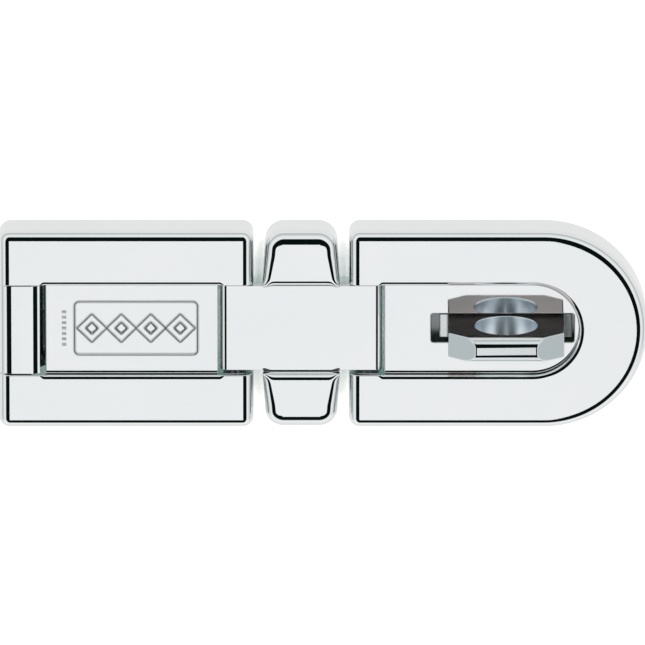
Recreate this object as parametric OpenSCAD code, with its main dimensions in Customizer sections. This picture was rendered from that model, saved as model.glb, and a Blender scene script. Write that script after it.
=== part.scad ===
// Double-jointed hasp and staple, closed over its staple and lying on its back.
// +X runs from the fixed hinge to the staple, +Z points away from the mounting surface.

/* [Covers] */
// Overall width of the hasp
cover_w = 49.3; // [44:0.1:56]
// Height of the covers' flat faces above the mounting surface
face_h = 10.8; // [10.6:0.1:12]
// Length of the cover over the fixed hinge
left_len = 60.9; // [56:0.1:80]
// Length of the short middle cover
middle_len = 18.5; // [16:0.1:30]
// Length of the cover over the staple
right_len = 71.3; // [68:0.1:90]
// Gap between neighbouring covers
cover_gap = 2.15; // [1.8:0.05:3]
// Thickness of the covers' pressed steel
sheet = 1.5; // [1.2:0.1:1.6]
// Radius on the covers' outer edges
edge_r = 2.6; // [2:0.1:3]
// Radius on the two outer ends of the middle cover
middle_end_r = 3.6; // [2.6:0.1:4.5]
// Gap between the mounting surface and the covers' rims
rim_gap = 0.5; // [0.4:0.1:1]

/* [Channel] */
// Width of the sunken channel that runs along the covers
channel_w = 22.4; // [20:0.1:24]
// Depth of the sunken panels below the flat faces
panel_depth = 2.3; // [2:0.1:2.6]
// Radius on the edges that turn down into the channel
channel_edge_r = 1.6; // [1:0.1:1.9]

/* [Link and pins] */
// Width of the link strap
strap_w = 21.2; // [18:0.1:21.6]
// Thickness of the link strap
strap_t = 3.0; // [2.5:0.1:3.2]
// How far the strap reaches into each long cover
strap_reach = 7.9; // [7.5:0.05:7.9]
// Distance of each link pin from the edge of its long cover
pin_inset = 4.4; // [4.3:0.05:4.5]
// Height of the link pins above the mounting surface
link_pin_z = 5.2; // [5.1:0.05:5.4]
// Diameter of the two link pins
link_pin_d = 3.5; // [3:0.1:3.6]
// Radial running clearance of the pins in the moving eyes
running_gap = 0.08; // [0.04:0.01:0.1]

/* [Fixed hinge] */
// Outer diameter of the fixed knuckle
knuckle_d = 9.3; // [9:0.1:9.4]
// Height of the knuckle's flattened top
knuckle_top = 10.3; // [10:0.1:10.6]
// Width of the knuckle's flattened top
knuckle_flat = 5.0; // [4.6:0.1:5.2]
// Radius on both sides of the flattened top
knuckle_r = 3.3; // [3.1:0.1:3.4]
// Distance from the pin to the middle of the flat
knuckle_shift = 0.94; // [0.9:0.02:1]
// Distance from the end hinge pin to the knuckle's inner side
knuckle_reach = 5.15; // [5:0.05:5.2]
// Radius where the plate's tongue bends up into the knuckle
tongue_bend = 3.0; // [2:0.1:3]
// Height of the end hinge pin above the mounting surface
end_pin_z = 6.3; // [6.2:0.1:6.4]
// Diameter of the end hinge pin
end_pin_d = 4.0; // [3.5:0.1:4.2]
// Gap between the knuckle and the sunken panel
knuckle_gap = 1.4; // [1.4:0.1:2.5]

/* [Plates] */
// Thickness of the hinge plate and the staple plate
plate_t = 3.0; // [2.5:0.1:3.2]
// Gap inside the covers around the two plates
plate_gap = 1.85; // [1.5:0.05:2.5]
// Diameter of the screw holes
screw_d = 5.2; // [4:0.1:5.5]
// Diameter of the countersinks at the front of the plates
countersink_d = 9.0; // [7:0.1:9.4]
// Distance between screw holes along the hinge plate
hinge_holes_x = 24; // [20:1:26]
// Distance between screw holes along the staple plate
staple_holes_x = 36; // [35:1:37]
// Distance between screw holes across both plates
holes_y = 26; // [24:1:27]

/* [Staple] */
// Distance from the middle of the hasp to the middle of the staple
staple_x = 43.7; // [43:0.1:44.2]
// Width of the staple eye along the hasp
eye_len = 27.6; // [24:0.1:27.8]
// Thickness of the staple eye
eye_t = 6.0; // [5:0.1:6.4]
// Height of the staple eye above the mounting surface
eye_h = 27.2; // [25:0.1:27.4]
// Diameter of the padlock hole
padlock_d = 14.8; // [10:0.1:15]
// Height of the padlock hole's middle above the mounting surface
padlock_z = 15.9; // [15.8:0.1:16.2]
// Size of the corner chamfers along the hasp and in height
eye_chamfer = [6.5, 5.2];
// Length and height of the shoulders at the staple's foot
eye_shoulder = [31.8, 3.6];
// Radius on the long edges of the staple's tip
eye_edge_r = 2.4; // [1:0.1:2.6]
// Slot clearance towards the hinge, away from it and to each side
slot_gap = [4.1, 3.2, 0.6];

/* [Stamped mark] */
// Height of the stamped lines above the sunken panel
mark_h = 0.3; // [0.2:0.05:0.5]
// Length and width of the stamped frame
mark_size = [29.4, 13.2];
// Width of the stamped lines
mark_line = 0.7; // [0.5:0.1:1]
// Number of lozenges inside the frame
lozenges = 4; // [2:1:5]

/* [Hidden] */
$fn = 96;
eps = 0.01;

total_len = left_len + middle_len + right_len + 2 * cover_gap;
left_x = -total_len / 2;
left_end = left_x + left_len;
middle_x = left_end + cover_gap;
middle_end = middle_x + middle_len;
right_x = middle_end + cover_gap;
right_end = total_len / 2;
round_x = right_end - cover_w / 2;      // centre of the right cover's round end

panel_z = face_h - panel_depth;
strap_gap = 0.55;                       // gap between the strap's ends and the panels
end_pin_x = left_x + knuckle_d / 2;
knuckle_end = end_pin_x + knuckle_reach;
left_pin_x = left_end - pin_inset;
right_pin_x = right_x + pin_inset;
left_panel = [knuckle_end + knuckle_gap, left_end - strap_reach - strap_gap];
right_panel_x = right_x + strap_reach + strap_gap;
panel_round_x = right_end - 27.5;       // centre of the sunken panel's round end

swing_r = end_pin_z - 0.2;              // largest radius that clears the surface at the end hinge
wall_foot = 2.6;                        // height of the left cover's end wall above the surface
pin_len = cover_w - 2 * sheet - 5;
lug_y = [channel_w / 2, pin_len / 2 - 1];
lug_top = face_h - sheet;               // the lugs reach the underside of the covers' faces
link_lug_r = pin_inset - sheet;          // each lug reaches its end wall's inner face
end_lug_r = knuckle_d / 2 - sheet;
eye_end_r = 1.5;                        // rounding on the strap's upper end edges
eye_r = 3.24;                           // outer radius of the strap's eyes
plate_r = cover_w / 2 - sheet - plate_gap;
hinge_plate_x = [left_x + 11.5, left_end - 9.4];
staple_plate_x = 18;
tenon = [22, 4];

STEEL = [0.86, 0.87, 0.89];
DARK_STEEL = [0.62, 0.64, 0.66];

// A flat-bottomed profile of the given width and height with rounded top corners
module arched_profile(w, h, r) {
    square_x = w / 2 - r;
    translate([-w / 2, 0]) square([w, h - r]);
    translate([-square_x, 0]) square([2 * square_x, h]);
    for (side = [-1, 1]) translate([side * square_x, h - r]) circle(r);
}

// What the channel takes out of a cover, seen along X, with its edges flared by a radius
module channel_profile(r) {
    depth = face_h - panel_z;
    translate([-channel_w / 2, 0]) square([channel_w, depth + 1]);
    difference() {
        translate([-channel_w / 2 - r, depth - r]) square([channel_w + 2 * r, r + 1]);
        for (side = [-1, 1]) translate([side * (channel_w / 2 + r), depth - r]) circle(r);
    }
}

// Extrudes a profile drawn in YZ along X
module along_x(x, len) {
    translate([x, 0, 0]) rotate([90, 0, 90]) linear_extrude(len) children();
}

// Extrudes a profile drawn in XZ across the hasp, centred on it
module across_y(w) {
    rotate([90, 0, 0]) linear_extrude(w, center = true) children();
}

// A straight box cover: every top edge is rounded, and so are the upright corners
module box_outline(x, len, end_r) {
    middle = x + len / 2;
    intersection() {
        along_x(x, len) arched_profile(cover_w, face_h, end_r);
        across_y(cover_w + 2) translate([middle, 0]) arched_profile(len, face_h, edge_r);
        translate([middle, 0, 0]) linear_extrude(face_h + 1) rounded_rectangle(len, cover_w, edge_r);
    }
}

module rounded_rectangle(len, w, r) {
    square([len - 2 * r, w], center = true);
    square([len, w - 2 * r], center = true);
    for (x = [-1, 1], y = [-1, 1]) translate([x * (len / 2 - r), y * (w / 2 - r)]) circle(r);
}

// The cavity of a cover, one sheet thickness inside its outline
module cavity(x, len) {
    translate([x + sheet, -cover_w / 2 + sheet, -1])
        cube([len - 2 * sheet, cover_w - 2 * sheet, face_h - sheet + 1]);
}

// Sheet metal that carries the sunken channel through a cavity
module channel_underside(x, len, top) {
    half = channel_w / 2 + sheet;
    translate([x, -half, top - sheet]) cube([len, 2 * half, face_h - top + sheet]);
}

// A lug beside the channel, bored for its pin and welded to the inside of an end wall
module lug(x, z, r, bore_d, side) {
    translate([0, side * (lug_y[0] + lug_y[1]) / 2, 0])
        across_y(lug_y[1] - lug_y[0])
            difference() {
                union() {
                    intersection() {
                        translate([x, z]) circle(r);
                        translate([x - r, 0]) square([2 * r, lug_top]);
                    }
                    translate([x - r, z]) square([2 * r, lug_top - z]);
                }
                translate([x, z]) circle(d = bore_d);
            }
}

module pin(x, z, d) {
    color(DARK_STEEL) translate([x, 0, z]) rotate([90, 0, 0]) cylinder(d = d, h = pin_len, center = true);
}

module screw_holes(x, spacing_x) {
    sink = (countersink_d - screw_d) / 2;
    for (sx = [-1, 1], sy = [-1, 1])
        translate([x + sx * spacing_x / 2, sy * holes_y / 2, 0]) {
            translate([0, 0, -1]) cylinder(d = screw_d, h = plate_t + 2);
            translate([0, 0, plate_t - sink]) cylinder(d1 = screw_d, d2 = countersink_d, h = sink);
            translate([0, 0, plate_t]) cylinder(d = countersink_d, h = 1);
        }
}

// Fixed plate with a tongue that is rolled up into the end knuckle
module hinge_plate() {
    color(STEEL) {
        difference() {
            union() {
                translate([hinge_plate_x[0], -plate_r, 0])
                    cube([hinge_plate_x[1] - hinge_plate_x[0], 2 * plate_r, plate_t]);
                translate([end_pin_x, -strap_w / 2, 0])
                    cube([hinge_plate_x[0] - end_pin_x + 1, strap_w, plate_t]);
                across_y(strap_w + 0.6) knuckle_profile();
            }
            screw_holes((hinge_plate_x[0] + hinge_plate_x[1]) / 2, hinge_holes_x);
            across_y(cover_w) translate([end_pin_x, end_pin_z]) circle(d = end_pin_d + 2 * running_gap);
        }
    }
}

// The rolled knuckle, flattened on top, with the bend that leads up to it from the tongue
module knuckle_profile() {
    half = knuckle_d / 2;
    translate([end_pin_x, 0]) {
        intersection() {
            translate([0, end_pin_z]) circle(r = half);
            translate([-half, 0]) square([knuckle_d, end_pin_z]);
        }
        translate([0, plate_t - eps]) square([knuckle_reach, end_pin_z - plate_t + 2 * eps]);
        intersection() {
            translate([-half, end_pin_z]) square([half + knuckle_reach, knuckle_top - end_pin_z]);
            translate([knuckle_shift, knuckle_top - knuckle_r]) {
                square([knuckle_flat, 2 * knuckle_r], center = true);
                for (side = [-1, 1]) translate([side * knuckle_flat / 2, 0]) circle(knuckle_r);
            }
        }
        translate([knuckle_reach - eps, plate_t - eps])
            difference() {
                square(tongue_bend);
                translate([tongue_bend, tongue_bend]) circle(tongue_bend);
            }
    }
}

module end_hinge_pin() {
    pin(end_pin_x, end_pin_z, end_pin_d);
}

// Long cover over the fixed hinge, with open notches for the knuckle and for the strap
module left_cover() {
    panel_len = left_panel[1] - left_panel[0];
    color(STEEL) {
        difference() {
            box_outline(left_x, left_len, edge_r);
            difference() {
                cavity(left_x, left_len);
                channel_underside(left_panel[0], panel_len, panel_z);
            }
            along_x(left_panel[0], panel_len) translate([0, panel_z]) channel_profile(channel_edge_r);
            for (notch = [[left_x - 1, left_panel[0]], [left_panel[1], left_end + 1]])
                translate([notch[0], -channel_w / 2, -1]) cube([notch[1] - notch[0], channel_w, face_h + 2]);
            translate([left_x - 1, -cover_w, -1]) cube([left_len + 2, 2 * cover_w, rim_gap + 1]);
            swing_relief();
        }
        stamped_mark();
    }
}

// Clears the corner that turns down towards the surface when the cover swings open
module swing_relief() {
    difference() {
        translate([left_x - 1, -cover_w, -1]) cube([end_pin_x - left_x + 1, 2 * cover_w, wall_foot + 1]);
        across_y(3 * cover_w) translate([end_pin_x, end_pin_z]) circle(swing_r);
    }
}

// Plain stamped decoration: a frame around a row of lozenges, and a column of short ticks
module stamped_mark() {
    mark_x = (left_panel[0] + left_panel[1]) / 2 + 1;
    inner = mark_size - 2 * [mark_line, mark_line];
    pitch = inner[0] / lozenges;
    lozenge = min(pitch, inner[1]) - 1.6;
    translate([mark_x, 0, panel_z - eps]) linear_extrude(mark_h + eps) {
        difference() {
            square(mark_size, center = true);
            square(inner, center = true);
        }
        for (i = [0 : lozenges - 1]) translate([(i + 0.5) * pitch - inner[0] / 2, 0]) rotate(45)
            difference() {
                square(lozenge, center = true);
                square(lozenge - 2 * mark_line, center = true);
            }
        for (i = [-3 : 3]) translate([-mark_size[0] / 2 - 2.6, i * 1.5]) square([1.3, 0.5], center = true);
    }
}

module left_end_lug(side) {
    color(DARK_STEEL) lug(end_pin_x, end_pin_z, end_lug_r, end_pin_d, side);
}

module left_end_lug_front() {
    left_end_lug(-1);
}

module left_end_lug_back() {
    left_end_lug(1);
}

module left_link_lug(side) {
    color(DARK_STEEL) lug(left_pin_x, link_pin_z, link_lug_r, link_pin_d, side);
}

module left_link_lug_front() {
    left_link_lug(-1);
}

module left_link_lug_back() {
    left_link_lug(1);
}

module left_link_pin() {
    pin(left_pin_x, link_pin_z, link_pin_d);
}

// Strap that joins the two long covers, with an eye at each end
module link_strap() {
    color(STEEL) {
        difference() {
            across_y(strap_w) {
                translate([left_pin_x, panel_z - strap_t]) square([right_pin_x - left_pin_x, strap_t]);
                strap_eye(left_pin_x, -1);
                strap_eye(right_pin_x, 1);
            }
            for (x = [left_pin_x, right_pin_x]) across_y(cover_w)
                translate([x, link_pin_z]) circle(d = link_pin_d + 2 * running_gap);
        }
    }
}

// One eye of the strap, flat on top and rounded at its upper end edge
module strap_eye(x, side) {
    reach = strap_reach - pin_inset;
    translate([x, link_pin_z]) circle(eye_r);
    intersection() {
        translate([side > 0 ? x : x - reach, link_pin_z]) square([reach, panel_z - link_pin_z]);
        union() {
            translate([x + side * (reach - eye_end_r), panel_z - eye_end_r]) circle(eye_end_r);
            translate([x + side * (reach - eye_end_r) - (side > 0 ? reach : 0), link_pin_z])
                square([reach, panel_z - link_pin_z]);
            translate([x - reach, link_pin_z]) square([2 * reach, panel_z - eye_end_r - link_pin_z]);
        }
    }
}

// Short pressed saddle with a groove for the strap, open below it
module middle_cover() {
    floor_z = panel_z - strap_t;
    groove = strap_w + 0.3;
    flare = (channel_w - groove) / 2 + channel_edge_r;
    color(STEEL) {
        difference() {
            box_outline(middle_x, middle_len, middle_end_r);
            difference() {
                cavity(middle_x, middle_len);
                channel_underside(middle_x, middle_len, floor_z);
            }
            translate([middle_x - 1, -groove / 2, floor_z]) cube([middle_len + 2, groove, strap_t + 1]);
            translate([middle_x - 1, -groove / 2, -1]) cube([middle_len + 2, groove, floor_z - sheet + 1]);
            along_x(middle_x - 1, middle_len + 2)
                difference() {
                    translate([-groove / 2 - flare, face_h - flare]) square([groove + 2 * flare, flare + 1]);
                    for (side = [-1, 1])
                        translate([side * (groove / 2 + flare), face_h - flare]) circle(flare);
                }
            translate([middle_x - 1, -cover_w, -1]) cube([middle_len + 2, 2 * cover_w, rim_gap + 1]);
        }
    }
}

module right_link_pin() {
    pin(right_pin_x, link_pin_z, link_pin_d);
}

module right_link_lug(side) {
    color(DARK_STEEL) lug(right_pin_x, link_pin_z, link_lug_r, link_pin_d, side);
}

module right_link_lug_front() {
    right_link_lug(-1);
}

module right_link_lug_back() {
    right_link_lug(1);
}

// Long cover that drops over the staple, with a round end and a slot in its sunken panel
module right_cover() {
    straight = round_x - right_x;
    panel_len = panel_round_x - right_panel_x;
    color(STEEL) {
        difference() {
            union() {
                intersection() {
                    along_x(right_x, straight) arched_profile(cover_w, face_h, edge_r);
                    across_y(cover_w + 2) translate([right_x + right_len / 2, 0])
                        arched_profile(right_len, face_h, edge_r);
                    translate([right_x + right_len / 2, 0, 0])
                        linear_extrude(face_h + 1) rounded_rectangle(right_len, cover_w, edge_r);
                }
                translate([round_x, 0, 0]) half_turn() half_profile(cover_w, face_h, edge_r);
            }
            difference() {
                union() {
                    translate([right_x + sheet, -cover_w / 2 + sheet, -1])
                        cube([straight - sheet, cover_w - 2 * sheet, face_h - sheet + 1]);
                    translate([round_x, 0, -1]) cylinder(r = cover_w / 2 - sheet, h = face_h - sheet + 1);
                }
                channel_underside(right_panel_x, panel_len, panel_z);
                translate([panel_round_x, 0, panel_z - sheet])
                    cylinder(r = channel_w / 2 + sheet, h = panel_depth + sheet);
            }
            along_x(right_panel_x, panel_len) translate([0, panel_z]) channel_profile(channel_edge_r);
            translate([panel_round_x, 0, panel_z]) half_turn() intersection() {
                channel_profile(channel_edge_r);
                square(cover_w);
            }
            translate([right_x - 1, -channel_w / 2, -1])
                cube([right_panel_x - right_x + 1, channel_w, face_h + 2]);
            staple_slot();
            translate([right_x - 1, -cover_w, -1]) cube([right_len + 2, 2 * cover_w, rim_gap + 1]);
        }
    }
}

// The right half of an arched profile, for turning about Z
module half_profile(w, h, r) {
    intersection() {
        arched_profile(w, h, r);
        square([w, h]);
    }
}

module half_turn() {
    rotate([0, 0, -90]) rotate_extrude(angle = 180) children();
}

module staple_slot() {
    x = staple_x - eye_len / 2 - slot_gap[0];
    w = eye_t + 2 * slot_gap[2];
    translate([x, -w / 2, -1]) cube([eye_len + slot_gap[0] + slot_gap[1], w, face_h]);
}

// Fixed plate under the right cover, with a slot for the eye's tenon
module staple_plate() {
    color(STEEL) {
        difference() {
            union() {
                translate([staple_plate_x, -plate_r, 0]) cube([round_x - staple_plate_x, 2 * plate_r, plate_t]);
                translate([round_x, 0, 0]) cylinder(r = plate_r, h = plate_t);
            }
            translate([staple_x, 0, 0]) cube([tenon[0], tenon[1], 3 * plate_t], center = true);
            screw_holes(staple_x, staple_holes_x);
        }
    }
}

// Forged padlock eye with chamfered corners, rounded tip and a shouldered foot, riveted through its plate
module staple_eye() {
    half = eye_len / 2;
    chamfer = eye_chamfer;
    color(STEEL) {
        difference() {
            intersection() {
                across_y(eye_t + 2) translate([staple_x, 0])
                    polygon([[-half, plate_t], [half, plate_t], [half, eye_h - chamfer[1]],
                        [half - chamfer[0], eye_h], [chamfer[0] - half, eye_h], [-half, eye_h - chamfer[1]]]);
                along_x(staple_x - half - 1, eye_len + 2) arched_profile(eye_t, eye_h, eye_edge_r);
            }
            across_y(cover_w) translate([staple_x, padlock_z]) circle(d = padlock_d);
        }
        translate([staple_x, 0, plate_t + eye_shoulder[1] / 2])
            cube([eye_shoulder[0], eye_t, eye_shoulder[1]], center = true);
        translate([staple_x, 0, plate_t / 2]) cube([tenon[0], tenon[1], plate_t], center = true);
    }
}

hinge_plate();
end_hinge_pin();
left_cover();
left_end_lug_front();
left_end_lug_back();
left_link_lug_front();
left_link_lug_back();
left_link_pin();
link_strap();
middle_cover();
right_link_pin();
right_link_lug_front();
right_link_lug_back();
right_cover();
staple_plate();
staple_eye();
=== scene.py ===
"""Finished looks for a double-jointed hasp and staple: covers, strap, eye, plates, lugs and pins."""

import math
from functools import partial
from types import SimpleNamespace

import bmesh
import bpy
from mathutils import Matrix, Vector


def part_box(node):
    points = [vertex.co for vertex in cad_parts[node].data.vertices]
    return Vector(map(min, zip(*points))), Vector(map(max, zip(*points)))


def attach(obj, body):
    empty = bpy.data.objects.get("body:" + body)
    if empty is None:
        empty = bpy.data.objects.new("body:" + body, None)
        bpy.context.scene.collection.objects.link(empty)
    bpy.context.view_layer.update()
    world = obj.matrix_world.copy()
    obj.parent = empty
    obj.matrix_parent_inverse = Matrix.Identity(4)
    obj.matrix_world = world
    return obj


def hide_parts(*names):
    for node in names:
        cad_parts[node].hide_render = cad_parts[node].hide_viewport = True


bl_info = {
    "name": "Hasp and Staple",
    "version": (1, 0, 0),
    "blender": (4, 5, 0),
    "location": "View3D > Sidebar > Hasp",
    "description": "Builds the finished pieces of a double-jointed hasp around its frame",
    "category": "Add Mesh",
}

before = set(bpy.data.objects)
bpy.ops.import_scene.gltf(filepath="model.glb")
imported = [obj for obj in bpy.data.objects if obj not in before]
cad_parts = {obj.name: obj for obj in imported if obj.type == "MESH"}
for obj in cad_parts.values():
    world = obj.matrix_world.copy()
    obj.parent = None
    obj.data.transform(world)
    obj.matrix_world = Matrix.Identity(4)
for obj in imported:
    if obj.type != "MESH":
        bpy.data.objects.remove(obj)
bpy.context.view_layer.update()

MM = 0.001
UP = Vector((0, 0, 1))
QUARTER = math.pi / 2
BEND_STEPS = 10
FILLET_STEPS = 4
RIM_STEPS = 3
CURL_STEPS = 8
ROUND_END_STEPS = 28
WELD = 0.0001 * MM  # outer points of a sheet closer than this are one point
BACK_WELD = 0.001 * MM  # the same for the surface behind them
MARK_WELD = 0.0005 * MM  # the same for the stamped lines

SLOT_CORNER = 0.8 * MM  # corner radius of the staple slot

# The saddle's edge radius changes round a lobe: sharp at the groove, fuller on the sides and ends.
SHARP = 0.1 * MM
SHARP_FLARE = 0.08 * MM
FLARE_RUN = 2.6 * MM  # length over which the groove's upper edge flares
NECK_RUN = 2.2 * MM  # length over which a side's edge grows to the neck radius
BODY_START = 2 * MM  # where it starts to grow on to the side radius
BODY_RUN = 6 * MM
CORNER_ZONE = 0.4 * MM  # width of the strip beside the groove that the corner points lie in
SIDE_STEPS = (0.5, 0.8, 1.2, 1.7, 2.3, 3.2, 4.5, 6.2, 8)  # millimetres off the groove
GROOVE_STEPS = (0.5, 0.8, 1.2, 1.6, 2.1, 2.7)  # millimetres from a lobe's end

# The stamped mark. Sizes without a unit are shares of another size.
LOZENGE_GAP = 3.2  # gap between lozenges, in line widths
CORE_SIZE = 0.42
TICK_SPREAD = 0.72
TICK_HALF = 0.55 * MM
TICK_OFFSET = 2.5 * MM
FRAME_CORNER = 1.1 * MM
LOZENGE_CORNER = 0.35 * MM
CORE_CORNER = 0.2 * MM
MARK_SHIFT = 1 * MM  # the mark stands this far from the panel's middle, towards the strap

# The forged eye.
BORE_DEPTH = 11.3 * MM  # from the tip of the eye to the middle of its bore
BORE_RADIUS = 7.4 * MM
FLANK_FACING = (0.93, 0.995)  # how squarely a face looks along Y to be part of a flank
BORE_BAND = (1.03, 1.01)  # in bore radii, where the bore's finish starts and is full
FLANK_ROUGHER = 0.13
BORE_ROUGHER = 0.2
FLANK_TINT = (1.0, 0.87, 0.85)
BORE_TINT = (0.84, 0.92, 0.98)
FLANK_TILT = math.radians(11)

# The dark ceiling is an ellipse of directions overhead.
CEILING_SHIFT = 0.1592  # how far its middle leans away in Y, in half sizes
CEILING_HALF_X = 0.654
CEILING_HALF_Y = 0.7885
CEILING_FADE = (0.95, 1.05)  # in half sizes, where the dark ends and the walls are full
WINDOW_FADE = (-0.3, -0.75)
WALL_FADE = (0.0, 0.6)

FLOOR_HALF = 4.0
FLOOR_DROP = 0.02 * MM  # keeps the floor clear of faces at height zero
FLOOR_GLOW = (0.83, 1.12)  # strength in reflections and to the camera
SHADE_REACH = 0.04
SHADE_RANGE = (0.001, 0.012)  # share of open sky where the shade is deepest and where it ends

CAMERA_TARGET = Vector((-0.12, 2.1, 10.8)) * MM


def length(name, description, millimetres):
    """A size in the user's units, given here in millimetres."""
    return bpy.props.FloatProperty(
        name=name, description=description, default=millimetres * MM, unit="LENGTH", precision=5
    )


def tilt(name, description, degrees):
    return bpy.props.FloatProperty(
        name=name, description=description, default=math.radians(degrees), subtype="ANGLE"
    )


def count(name, description, default, most):
    return bpy.props.IntProperty(name=name, description=description, default=default, min=1, max=most)


def colour(name, description, default):
    return bpy.props.FloatVectorProperty(
        name=name, description=description, default=default, size=3, min=0, max=1, subtype="COLOR"
    )


class HaspSheet(bpy.types.PropertyGroup):
    thickness: length("Thickness", "Thickness of the covers' steel sheet", 1.5)
    edge_radius: length("Edge radius", "Radius on the outer edges of the long covers", 2.6)
    channel_radius: length("Channel bend", "Width of the bend from the face into the channel", 1.3)
    channel_depth: length("Channel bend depth", "Depth of the same bend", 0.65)
    fillet: length("Fillet", "Radius between a channel wall and its panel", 0.12)
    cut_radius: length("Cut edge radius", "Rounding on both sides of a cut edge", 0.2)
    channel_gap: length("Channel gap", "Gap between the strap and the channel wall", 0.6)
    pin_gap: length("Pin gap", "Distance from the end hinge pin to the left panel", 6.55)
    strap_gap: length("Strap gap", "Gap between the strap's ends and the panels", 0.55)
    curl: length("Curl", "Length over which a notch's edge curls down before a panel", 2.2)
    end_margin: length("End margin", "Width of the face around the right channel's round end", 16.3)
    swing_radius: length("Swing radius", "Radius about the end pin that clears the surface", 6.1)
    slot_near: length("Slot gap, near", "Slot clearance towards the hinge", 2.0)
    slot_far: length("Slot gap, far", "Slot clearance at the round end", 0.45)
    slot_side: length("Slot gap, sides", "Slot clearance beside the staple", 0.6)


class HaspSaddle(bpy.types.PropertyGroup):
    groove_gap: length("Groove gap", "Gap between the strap and the groove's walls", 0.15)
    strap_thickness: length("Strap thickness", "Depth of the groove under the strap's top", 3.02)
    taper: length("Taper", "How much each half of a lobe narrows towards its outer end", 0.9)
    corner_radius: length("Corner radius", "Plan radius of the lobes' outer corners", 4.5)
    inner_radius: length("Inner radius", "Plan radius of the lobes' corners at the groove", 0.3)
    end_radius: length("End radius", "Edge radius on the outer ends", 3.6)
    side_radius: length("Side radius", "Edge radius on the sides near the outer corners", 2.6)
    neck_radius: length("Neck radius", "Edge radius on the sides just off the groove", 1.8)
    flare: length("Flare", "Radius on the groove's upper edges", 1.9)


class HaspMark(bpy.types.PropertyGroup):
    frame_length: length("Length", "Length of the stamped frame", 29.4)
    frame_width: length("Width", "Width of the stamped frame", 13.2)
    line: length("Line", "Width of a stamped line", 0.62)
    height: length("Height", "Height of the lines above the panel", 0.38)
    lozenges: count("Lozenges", "Lozenges in the frame", 4, 6)
    ticks: count("Ticks", "Ticks beside the frame", 7, 9)


class HaspFinish(bpy.types.PropertyGroup):
    cover: colour("Covers", "Bright plating of the covers and the strap", (0.86, 0.875, 0.885))
    eye: colour("Eye", "Plating over the forged eye", (0.74, 0.78, 0.79))
    plate: colour("Plates", "Satin zinc on the plates", (0.72, 0.73, 0.75))
    lug: colour("Lugs", "Satin zinc on the lugs", (0.6, 0.62, 0.64))
    pin: colour("Pins", "Ground steel of the pins", (0.55, 0.56, 0.58))


class HaspStudio(bpy.types.PropertyGroup):
    distance: length("Distance", "Camera distance from the hasp", 5000)
    elevation: tilt("Elevation", "Height angle of the camera", 72.5)
    field: length("Field", "Width of what the camera sees", 154.05)
    lamp_height: length("Lamp height", "Height of the soft light", 3000)
    lamp_near: tilt("Lamp near edge", "Tilt of the light's near edge", 2)
    lamp_far: tilt("Lamp far edge", "Tilt of the light's far edge", 34)
    lamp_width: length("Lamp width", "Width of the soft light", 380)
    lamp_radiance: bpy.props.FloatProperty(
        name="Lamp radiance", description="Brightness of the soft light in a mirror", default=0.965, min=0
    )
    floor: colour("Floor", "Colour of the pale floor", (1.0, 1.0, 0.985))
    shade: colour("Floor shade", "Colour of the floor in deep shade", (0.006, 0.1, 0.075))
    pale: colour("Pale surround", "Colour of the upper studio walls", (0.93, 0.94, 0.92))
    horizon: colour("Horizon", "Colour of the lower studio walls", (0.47, 0.51, 0.53))
    window: colour("Window", "Colour of the lower wall behind the hasp", (1.0, 1.0, 1.0))
    dark: colour("Dark ceiling", "Colour of the dark studio ceiling", (0.002, 0.006, 0.005))


# ---- places


def places():
    """The hasp's main places, all read from the frame."""
    sheet = bpy.context.scene.hasp_sheet
    left, right, middle = (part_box(node) for node in ("left_cover", "right_cover", "middle_cover"))
    strap, eye, end_pin = (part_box(node) for node in ("link_strap", "staple_eye", "end_hinge_pin"))
    end_pin_x = (end_pin[0][0] + end_pin[1][0]) / 2
    return SimpleNamespace(
        top=left[1][2],
        rim=left[0][2],
        half=left[1][1],
        left=(left[0][0], left[1][0]),
        middle=(middle[0][0], middle[1][0]),
        right=(right[0][0], right[1][0]),
        end_pin=(end_pin_x, (end_pin[0][2] + end_pin[1][2]) / 2),
        strap=(strap[0][0], strap[1][0]),
        strap_half=strap[1][1],
        panel=strap[1][2],
        channel=strap[1][1] + sheet.channel_gap,
        left_panel=(end_pin_x + sheet.pin_gap, strap[0][0] - sheet.strap_gap),
        right_panel=strap[1][0] + sheet.strap_gap,
        eye=eye,
    )


# ---- sheet metal


class Skin:
    """The outer surface of a pressed sheet: points, each with a normal and the point behind it."""

    def __init__(self):
        self.places = []
        self.normals = []
        self.backs = []
        self.faces = []
        self.known = {}

    def point(self, place, normal, back):
        key = tuple(round(value / WELD) for value in place)
        if key not in self.known:
            self.known[key] = len(self.places)
            self.places.append(Vector(place))
            self.normals.append(Vector(normal).normalized())
            self.backs.append(Vector(back))
        return self.known[key]

    def face(self, corners):
        """Adds a face that looks the way its corners' normals do."""
        ring = [corner for i, corner in enumerate(corners) if corner != corners[i - 1]]
        if len(set(ring)) < 3:
            return
        area = Vector((0, 0, 0))
        for i, corner in enumerate(ring):
            area += self.places[ring[i - 1]].cross(self.places[corner])
        facing = sum((self.normals[corner] for corner in ring), Vector((0, 0, 0)))
        self.faces.append(ring if area.dot(facing) > 0 else ring[::-1])

    def weave(self, ribs):
        """Joins neighbouring ribs with four-sided faces, as far as both of them reach."""
        for one, two in zip(ribs, ribs[1:]):
            for k in range(min(len(one), len(two)) - 1):
                self.face([one[k], two[k], two[k + 1], one[k + 1]])


def right_of(direction):
    return Vector((direction.y, -direction.x))


def turned(direction, angle):
    return Matrix.Rotation(angle, 2) @ direction


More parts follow.
